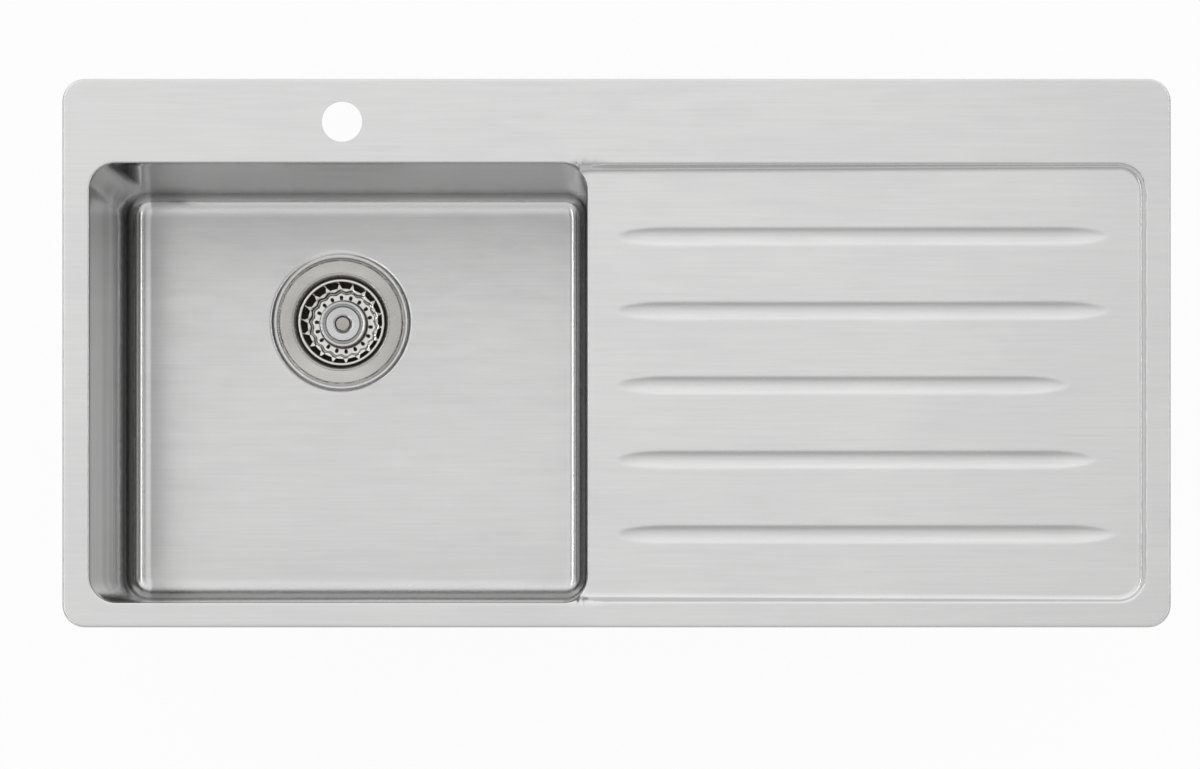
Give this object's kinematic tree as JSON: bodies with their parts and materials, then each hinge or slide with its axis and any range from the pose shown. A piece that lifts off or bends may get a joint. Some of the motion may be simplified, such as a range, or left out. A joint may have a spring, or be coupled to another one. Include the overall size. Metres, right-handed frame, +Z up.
{
  "type": "kitchen sink with drainboard",
  "caption": "Inset stainless kitchen sink: one deep bowl with a lift-out basket strainer, a tap hole, a grooved drainboard and turning fixing clips under the rim.",
  "frame": {"origin": "centre of the rim's rectangular outline, level with the top face of the bench that the rim seal rests on", "axes": "+X along the drainboard, away from the bowl; +Y to the tap ledge at the back; +Z up"},
  "size_m": [0.97, 0.48, 0.3311],
  "materials": {
    "brushed_sheet": "fine linear brushed grain along X",
    "waste_steel": "satin turned stainless steel",
    "basket_steel": "bright pressed stainless steel",
    "knob_steel": "satin turned stainless steel with a bright disc",
    "galvanised_steel": "dull zinc-coated steel",
    "rubber": "matt black rubber",
    "foam_seal": "soft grey foam strip",
    "damping_mat": "matt grey sound-damping mat",
    "dark_plastic": "satin moulded plastic",
    "pale_plastic": "satin moulded plastic",
    "plated_screw": "bright zinc plate",
    "clip_steel": "zinc-plated pressed steel"
  },
  "bodies": {
    "sink": {"deck": "brushed_sheet", "bowl": "brushed_sheet", "rim_seal": "foam_seal", "rail_front": "galvanised_steel", "rail_right": "galvanised_steel", "rail_back_right": "galvanised_steel", "rail_back_left": "galvanised_steel", "rail_left": "galvanised_steel", "stiffener_back": "galvanised_steel", "stiffener_front": "galvanised_steel", "pad_right": "damping_mat", "pad_back": "damping_mat", "pad_left": "damping_mat", "pad_front": "damping_mat", "pad_floor_right": "damping_mat", "pad_floor_left": "damping_mat", "waste_body": "waste_steel", "outlet_neck": "waste_steel", "outlet_cross": "waste_steel", "flange_gasket": "rubber", "under_gasket": "rubber", "tail_washer": "rubber", "lock_nut": "dark_plastic", "coupling_nut": "dark_plastic", "outlet_tail": "pale_plastic", "friction_ring": "pale_plastic"},
    "basket": {"basket": "basket_steel", "rivet": "basket_steel", "catch_sleeve": "basket_steel", "plug_washer": "basket_steel", "knob": "knob_steel", "plug_seal": "rubber"},
    "screw_1": {"screw_1": "plated_screw"},
    "claw_1": {"claw_1": "clip_steel"},
    "screw_2": {"screw_2": "plated_screw"},
    "claw_2": {"claw_2": "clip_steel"},
    "screw_3": {"screw_3": "plated_screw"},
    "claw_3": {"claw_3": "clip_steel"},
    "screw_4": {"screw_4": "plated_screw"},
    "claw_4": {"claw_4": "clip_steel"},
    "screw_5": {"screw_5": "plated_screw"},
    "claw_5": {"claw_5": "clip_steel"},
    "screw_6": {"screw_6": "plated_screw"},
    "claw_6": {"claw_6": "clip_steel"},
    "screw_7": {"screw_7": "plated_screw"},
    "claw_7": {"claw_7": "clip_steel"},
    "screw_8": {"screw_8": "plated_screw"},
    "claw_8": {"claw_8": "clip_steel"}
  },
  "joints": [
    {"name": "basket_lift", "type": "slide", "parent": "sink", "child": "basket", "axis": [0, 0, 1], "range_m": [0, 0.27]},
    {"name": "screw_1_turn", "type": "hinge", "parent": "sink", "child": "screw_1", "pos_m": [-0.4, -0.22545, -0.03], "axis": [0, 0, 1], "range_deg": [0, 90]},
    {"name": "claw_1_climb", "type": "slide", "parent": "screw_1", "child": "claw_1", "axis": [0, 0, 1], "range_m": [0, 0.03]},
    {"name": "screw_2_turn", "type": "hinge", "parent": "sink", "child": "screw_2", "pos_m": [0, -0.22545, -0.03], "axis": [0, 0, 1], "range_deg": [0, 90]},
    {"name": "claw_2_climb", "type": "slide", "parent": "screw_2", "child": "claw_2", "axis": [0, 0, 1], "range_m": [0, 0.03]},
    {"name": "screw_3_turn", "type": "hinge", "parent": "sink", "child": "screw_3", "pos_m": [0.4, -0.22545, -0.03], "axis": [0, 0, 1], "range_deg": [0, 90]},
    {"name": "claw_3_climb", "type": "slide", "parent": "screw_3", "child": "claw_3", "axis": [0, 0, 1], "range_m": [0, 0.03]},
    {"name": "screw_4_turn", "type": "hinge", "parent": "sink", "child": "screw_4", "pos_m": [0.47045, 0, -0.03], "axis": [0, 0, 1], "range_deg": [0, 90]},
    {"name": "claw_4_climb", "type": "slide", "parent": "screw_4", "child": "claw_4", "axis": [0, 0, 1], "range_m": [0, 0.03]},
    {"name": "screw_5_turn", "type": "hinge", "parent": "sink", "child": "screw_5", "pos_m": [0.4, 0.22545, -0.03], "axis": [0, 0, 1], "range_deg": [0, 90]},
    {"name": "claw_5_climb", "type": "slide", "parent": "screw_5", "child": "claw_5", "axis": [0, 0, 1], "range_m": [0, 0.03]},
    {"name": "screw_6_turn", "type": "hinge", "parent": "sink", "child": "screw_6", "pos_m": [0, 0.22545, -0.03], "axis": [0, 0, 1], "range_deg": [0, 90]},
    {"name": "claw_6_climb", "type": "slide", "parent": "screw_6", "child": "claw_6", "axis": [0, 0, 1], "range_m": [0, 0.03]},
    {"name": "screw_7_turn", "type": "hinge", "parent": "sink", "child": "screw_7", "pos_m": [-0.4, 0.22545, -0.03], "axis": [0, 0, 1], "range_deg": [0, 90]},
    {"name": "claw_7_climb", "type": "slide", "parent": "screw_7", "child": "claw_7", "axis": [0, 0, 1], "range_m": [0, 0.03]},
    {"name": "screw_8_turn", "type": "hinge", "parent": "sink", "child": "screw_8", "pos_m": [-0.47045, 0, -0.03], "axis": [0, 0, 1], "range_deg": [0, 90]},
    {"name": "claw_8_climb", "type": "slide", "parent": "screw_8", "child": "claw_8", "axis": [0, 0, 1], "range_m": [0, 0.03]}
  ]
}
